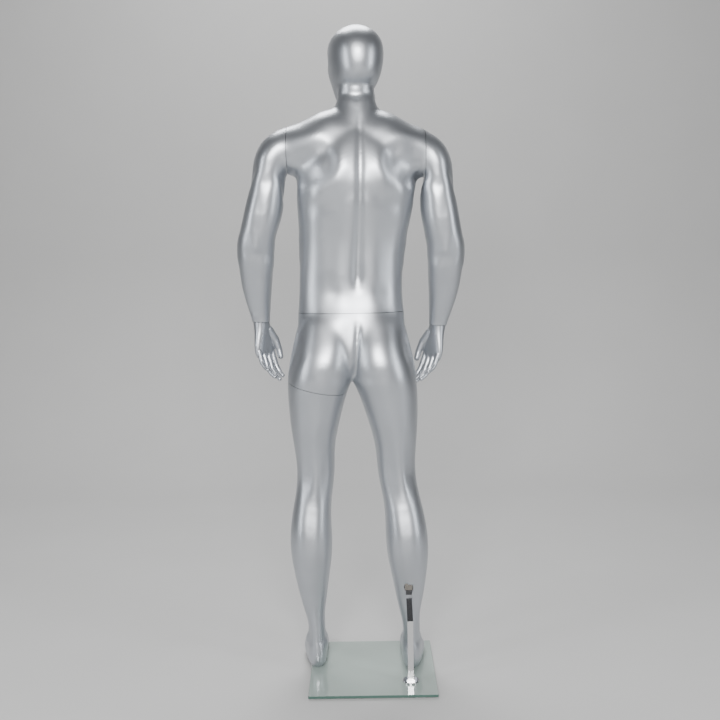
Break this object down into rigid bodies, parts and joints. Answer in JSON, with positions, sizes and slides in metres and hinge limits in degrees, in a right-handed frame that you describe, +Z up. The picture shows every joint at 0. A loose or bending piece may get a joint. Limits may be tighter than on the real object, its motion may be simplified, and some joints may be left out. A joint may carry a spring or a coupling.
{
  "type": "full body mannequin",
  "caption": "Standing full body display mannequin with detachable torso, arms and hands, held by a bent square calf bar on a square glass plate.",
  "frame": {"origin": "on the floor, in the middle of the box round the whole mannequin", "axes": "+Z up, the figure faces -Y, +X towards the figure's left arm"},
  "size_m": [0.6412, 0.3836, 1.83],
  "materials": {
    "silver_lacquer": "satin silver metallic lacquer on fibreglass",
    "frosted_glass": "toughened glass, back painted pale grey green, polished edges",
    "chrome": "polished chrome plate",
    "fitting_steel": "zinc plated steel",
    "screw_steel": "plated steel screws",
    "clear_rubber": "clear soft polyurethane"
  },
  "bodies": {
    "base": {"base_plate": "frosted_glass", "base_pads": "clear_rubber", "flange_gasket": "clear_rubber", "support_flange": "chrome", "flange_screws": "screw_steel", "support_collar": "chrome", "support_bar": "chrome", "base_washer": "screw_steel", "base_bolt": "screw_steel"},
    "lower_body": {"pelvis_and_right_leg": "silver_lacquer", "left_leg": "silver_lacquer", "calf_socket": "fitting_steel", "waist_post": "fitting_steel", "waist_post_screws": "screw_steel", "left_thigh_pin": "fitting_steel", "left_thigh_pin_screws": "screw_steel", "left_thigh_cup": "fitting_steel", "left_thigh_cup_screws": "screw_steel"},
    "torso": {"torso_and_head": "silver_lacquer", "waist_socket": "fitting_steel", "waist_socket_screws": "screw_steel", "left_shoulder_plate": "fitting_steel", "left_shoulder_plate_screws": "screw_steel", "right_shoulder_plate": "fitting_steel", "right_shoulder_plate_screws": "screw_steel"},
    "left_arm": {"left_arm": "silver_lacquer", "left_arm_lug": "fitting_steel", "left_arm_lug_screws": "screw_steel", "left_wrist_sleeve": "fitting_steel"},
    "left_wrist": {"left_wrist_post": "fitting_steel"},
    "left_hand": {"left_hand": "silver_lacquer"},
    "right_arm": {"right_arm": "silver_lacquer", "right_arm_lug": "fitting_steel", "right_arm_lug_screws": "screw_steel", "right_wrist_sleeve": "fitting_steel"},
    "right_wrist": {"right_wrist_post": "fitting_steel"},
    "right_hand": {"right_hand": "silver_lacquer"}
  },
  "joints": [
    {"name": "mannequin_lift", "type": "slide", "parent": "base", "child": "lower_body", "axis": [0, -0.309, 0.9511], "range_m": [0, 0.05]},
    {"name": "torso_lift", "type": "slide", "parent": "lower_body", "child": "torso", "axis": [0, 0, 1], "range_m": [0, 0.055]},
    {"name": "left_arm_turn", "type": "hinge", "parent": "torso", "child": "left_arm", "pos_m": [0.1712, -0.0482, 1.49973], "axis": [-1, 0, 0], "range_deg": [0, 90]},
    {"name": "left_hand_pull", "type": "slide", "parent": "left_arm", "child": "left_wrist", "axis": [0.0419, 0, -0.9991], "range_m": [0, 0.03]},
    {"name": "left_hand_turn", "type": "hinge", "parent": "left_wrist", "child": "left_hand", "pos_m": [0.26615, -0.1127, 1.01328], "axis": [0.0419, 0, -0.9991], "range_deg": [-60, 60]},
    {"name": "right_arm_turn", "type": "hinge", "parent": "torso", "child": "right_arm", "pos_m": [-0.2108, -0.0482, 1.48827], "axis": [-1, 0, 0], "range_deg": [0, 90]},
    {"name": "right_hand_pull", "type": "slide", "parent": "right_arm", "child": "right_wrist", "axis": [0.0419, 0, -0.9991], "range_m": [0, 0.03]},
    {"name": "right_hand_turn", "type": "hinge", "parent": "right_wrist", "child": "right_hand", "pos_m": [-0.24873, -0.1127, 0.99625], "axis": [0.0419, 0, -0.9991], "range_deg": [-60, 60]}
  ]
}
